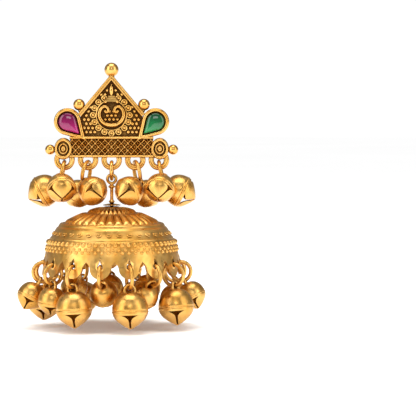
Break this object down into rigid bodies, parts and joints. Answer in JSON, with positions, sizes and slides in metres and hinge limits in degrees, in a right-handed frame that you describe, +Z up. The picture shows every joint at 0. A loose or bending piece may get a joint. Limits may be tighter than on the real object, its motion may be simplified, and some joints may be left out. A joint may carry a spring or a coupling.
{
  "type": "jhumka earring",
  "caption": "Gold jhumka earring: a gabled plaque with two pear stones, a row of small bells, and a hollow dome with a fringe of bells hanging on a link.",
  "frame": {"origin": "where the ear post leaves the flat back of the plaque", "axes": "+Z up along the hanging earring, +Y back along the ear post, +X across the plaque to the emerald's side"},
  "size_m": [0.0415, 0.0378, 0.0577],
  "materials": {
    "antique_gold": "polished gold plate with dark antiquing left in the recesses",
    "satin_gold": "satin gold plate, softly brushed, darker in the seams",
    "ruby_glass": "smooth magenta red cabochon with a foiled back",
    "emerald_glass": "smooth deep green cabochon with a foiled back"
  },
  "bodies": {
    "plaque": {"bell_a1": "satin_gold", "bell_a2": "satin_gold", "bell_b1": "satin_gold", "bell_b2": "satin_gold", "bell_d1": "satin_gold", "bell_d2": "satin_gold", "bell_e1": "satin_gold", "bell_e2": "satin_gold", "emerald_stone": "emerald_glass", "jump_ring_a": "satin_gold", "jump_ring_b": "satin_gold", "jump_ring_d": "satin_gold", "jump_ring_e": "satin_gold", "plaque": "antique_gold", "ruby_stone": "ruby_glass"},
    "link": {"link_ring": "satin_gold"},
    "drop": {"dome": "satin_gold", "dome_stem": "antique_gold", "rim_bell_01": "satin_gold", "rim_bell_02": "satin_gold", "rim_bell_03": "satin_gold", "rim_bell_04": "satin_gold", "rim_bell_05": "satin_gold", "rim_bell_06": "satin_gold", "rim_bell_07": "satin_gold", "rim_bell_08": "satin_gold", "rim_bell_09": "satin_gold", "rim_bell_10": "satin_gold", "rim_bell_11": "satin_gold", "rim_bell_12": "satin_gold", "rim_bell_13": "satin_gold", "rim_bell_14": "satin_gold", "rim_bell_15": "satin_gold", "rim_ring_01": "satin_gold", "rim_ring_02": "satin_gold", "rim_ring_03": "satin_gold", "rim_ring_04": "satin_gold", "rim_ring_05": "satin_gold", "rim_ring_06": "satin_gold", "rim_ring_07": "satin_gold", "rim_ring_08": "satin_gold", "rim_ring_09": "satin_gold", "rim_ring_10": "satin_gold", "rim_ring_11": "satin_gold", "rim_ring_12": "satin_gold", "rim_ring_13": "satin_gold", "rim_ring_14": "satin_gold", "rim_ring_15": "satin_gold"}
  },
  "joints": [
    {"name": "link_swing", "type": "hinge", "parent": "plaque", "child": "link", "pos_m": [0, -0.0007, -0.01159], "axis": [1, 0, 0], "range_deg": [-8, 8]},
    {"name": "drop_swing", "type": "hinge", "parent": "link", "child": "drop", "pos_m": [0, -0.0007, -0.01412], "axis": [0, 1, 0], "range_deg": [-5, 5]}
  ]
}
